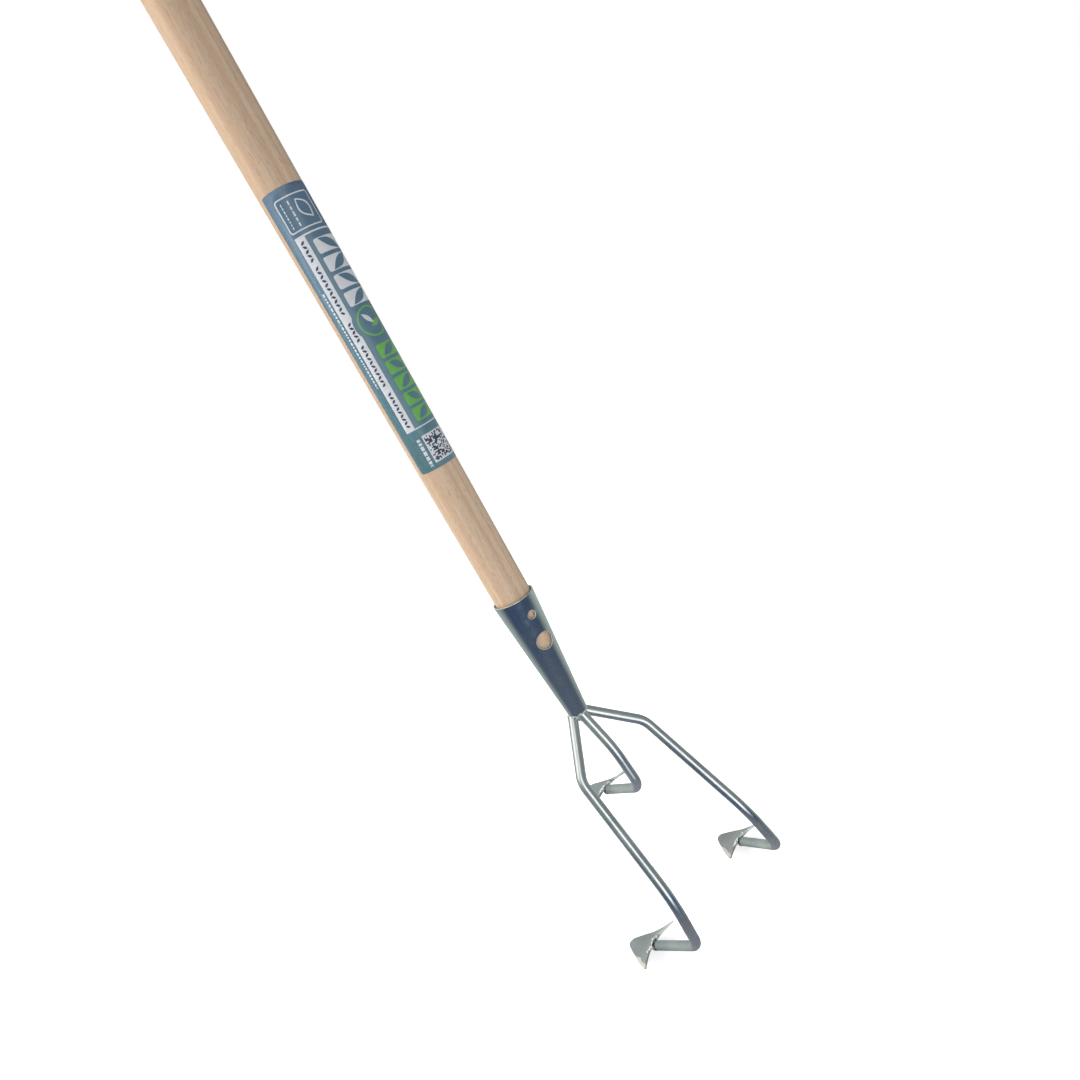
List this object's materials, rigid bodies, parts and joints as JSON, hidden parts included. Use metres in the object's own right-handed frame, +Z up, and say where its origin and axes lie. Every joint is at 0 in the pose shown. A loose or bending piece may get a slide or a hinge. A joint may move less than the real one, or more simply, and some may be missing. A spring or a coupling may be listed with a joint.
{
  "type": "hand cultivator",
  "caption": "Long round wooden handle in a conical steel socket with bent round tines, each hooked back and ending in a small dished goose-foot blade.",
  "frame": {"origin": "on the handle's axis, in the plane of the socket's mouth", "axes": "+Z up the handle away from the tines, -Y towards the side of the socket with the two holes, +Y the way the blades point, +X to the right seen from the holes' side"},
  "size_m": [0.1653, 0.1451, 1.8549],
  "materials": {
    "ash_wood": "sanded pale ash with fine straight grain, bare",
    "label_film": "satin printed adhesive film, slate teal",
    "zinc_steel": "bright zinc-plated steel, slightly drawn along the rod",
    "blade_steel": "dull zinc-plated pressed steel",
    "weld_metal": "bright uneven plated weld"
  },
  "bodies": {
    "root": {"handle": "ash_wood", "label": "label_film", "socket": "zinc_steel", "tine_left": "zinc_steel", "tine_middle": "zinc_steel", "tine_right": "zinc_steel", "root_weld": "weld_metal", "blade_left": "blade_steel", "blade_middle": "blade_steel", "blade_right": "blade_steel", "blade_weld_left": "weld_metal", "blade_weld_middle": "weld_metal", "blade_weld_right": "weld_metal"}
  },
  "joints": []
}
